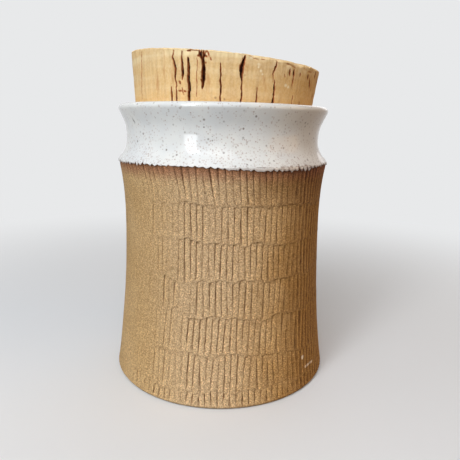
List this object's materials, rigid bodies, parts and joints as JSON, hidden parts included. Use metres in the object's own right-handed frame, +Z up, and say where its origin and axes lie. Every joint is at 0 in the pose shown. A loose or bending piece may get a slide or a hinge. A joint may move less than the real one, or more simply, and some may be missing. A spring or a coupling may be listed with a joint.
{
  "type": "coffee canister",
  "caption": "Waisted stoneware canister with a coved, glazed neck, a flared lip and a tapered natural cork stopper.",
  "frame": {"origin": "centre of the foot, on the surface that the jar stands on", "axes": "+Z up along the jar's axis; +X is the side towards which the cork leans; -Y is the side with the large cracks in the cork"},
  "size_m": [0.124, 0.124, 0.1754],
  "materials": {
    "stoneware": "matte",
    "glaze": "gloss",
    "cork": "matte"
  },
  "bodies": {
    "root": {"jar": "stoneware", "cork": "cork"}
  },
  "joints": []
}
